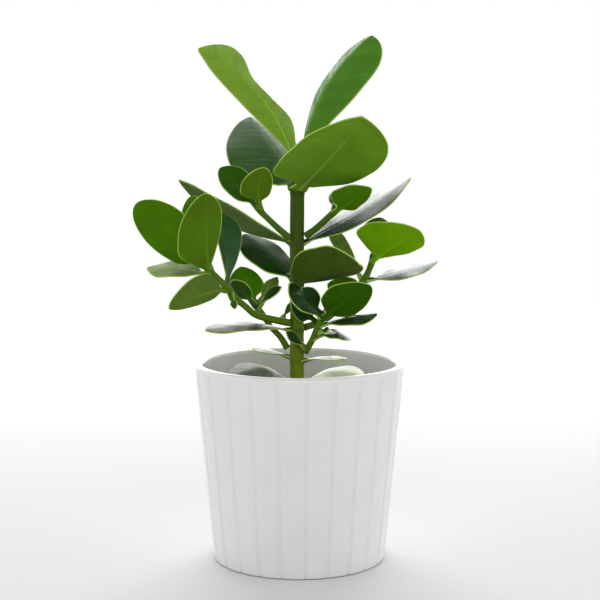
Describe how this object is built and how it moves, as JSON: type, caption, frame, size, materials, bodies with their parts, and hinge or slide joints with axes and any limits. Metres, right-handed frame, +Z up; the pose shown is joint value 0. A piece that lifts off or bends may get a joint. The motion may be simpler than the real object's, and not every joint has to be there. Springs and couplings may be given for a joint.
{
  "type": "potted clusia",
  "caption": "Young clusia house plant with thick leathery leaves on a green stem and side shoots, in a tapered white glazed pot with narrow upright flutes.",
  "frame": {"origin": "centre of the pot's flat underside, where the part stands", "axes": "+Z up along the pot's axis; -Y is the side that the picture shows, with +X to its right"},
  "size_m": [0.2062, 0.1782, 0.3553],
  "materials": {
    "glaze": "gloss",
    "growing_pot_plastic": "matte",
    "medium": "matte",
    "stem": "satin",
    "shoot": "satin",
    "leaf_dark": "gloss",
    "leaf_green": "satin",
    "leaf_young": "satin",
    "leaf_pale": "satin"
  },
  "bodies": {
    "root": {"branch_high_left": "shoot", "branch_high_right": "shoot", "branch_long_left": "shoot", "branch_long_right": "shoot", "branch_low_left": "shoot", "branch_low_right": "shoot", "growing_medium": "medium", "leaf_a_back": "leaf_dark", "leaf_a_flat": "leaf_young", "leaf_a_front": "leaf_young", "leaf_a_inner": "leaf_dark", "leaf_a_outer": "leaf_green", "leaf_a_small": "leaf_green", "leaf_a_stub": "leaf_pale", "leaf_a_upright": "leaf_green", "leaf_b_back": "leaf_green", "leaf_b_far": "leaf_green", "leaf_b_left": "leaf_green", "leaf_b_right": "leaf_green", "leaf_base_left": "leaf_pale", "leaf_base_right": "leaf_pale", "leaf_c_base": "leaf_green", "leaf_c_front": "leaf_green", "leaf_c_left": "leaf_green", "leaf_c_low": "leaf_green", "leaf_c_middle": "leaf_green", "leaf_c_right": "leaf_young", "leaf_c_small": "leaf_green", "leaf_crown_back": "leaf_dark", "leaf_crown_front": "leaf_green", "leaf_d_back": "leaf_green", "leaf_d_front": "leaf_green", "leaf_e_back": "leaf_dark", "leaf_e_front": "leaf_green", "leaf_f_back": "leaf_green", "leaf_f_far": "leaf_young", "leaf_f_front": "leaf_green", "leaf_f_inner": "leaf_green", "leaf_f_low": "leaf_green", "leaf_lower_front": "leaf_young", "leaf_lower_left": "leaf_green", "leaf_middle_back": "leaf_dark", "leaf_middle_front": "leaf_dark", "leaf_rim_left": "leaf_dark", "leaf_rim_right": "leaf_pale", "leaf_top_left": "leaf_young", "leaf_top_right": "leaf_green", "leaf_upper_left": "leaf_green", "leaf_upper_right": "leaf_green", "main_stem": "stem", "nursery_pot": "growing_pot_plastic", "pot": "glaze"}
  },
  "joints": []
}
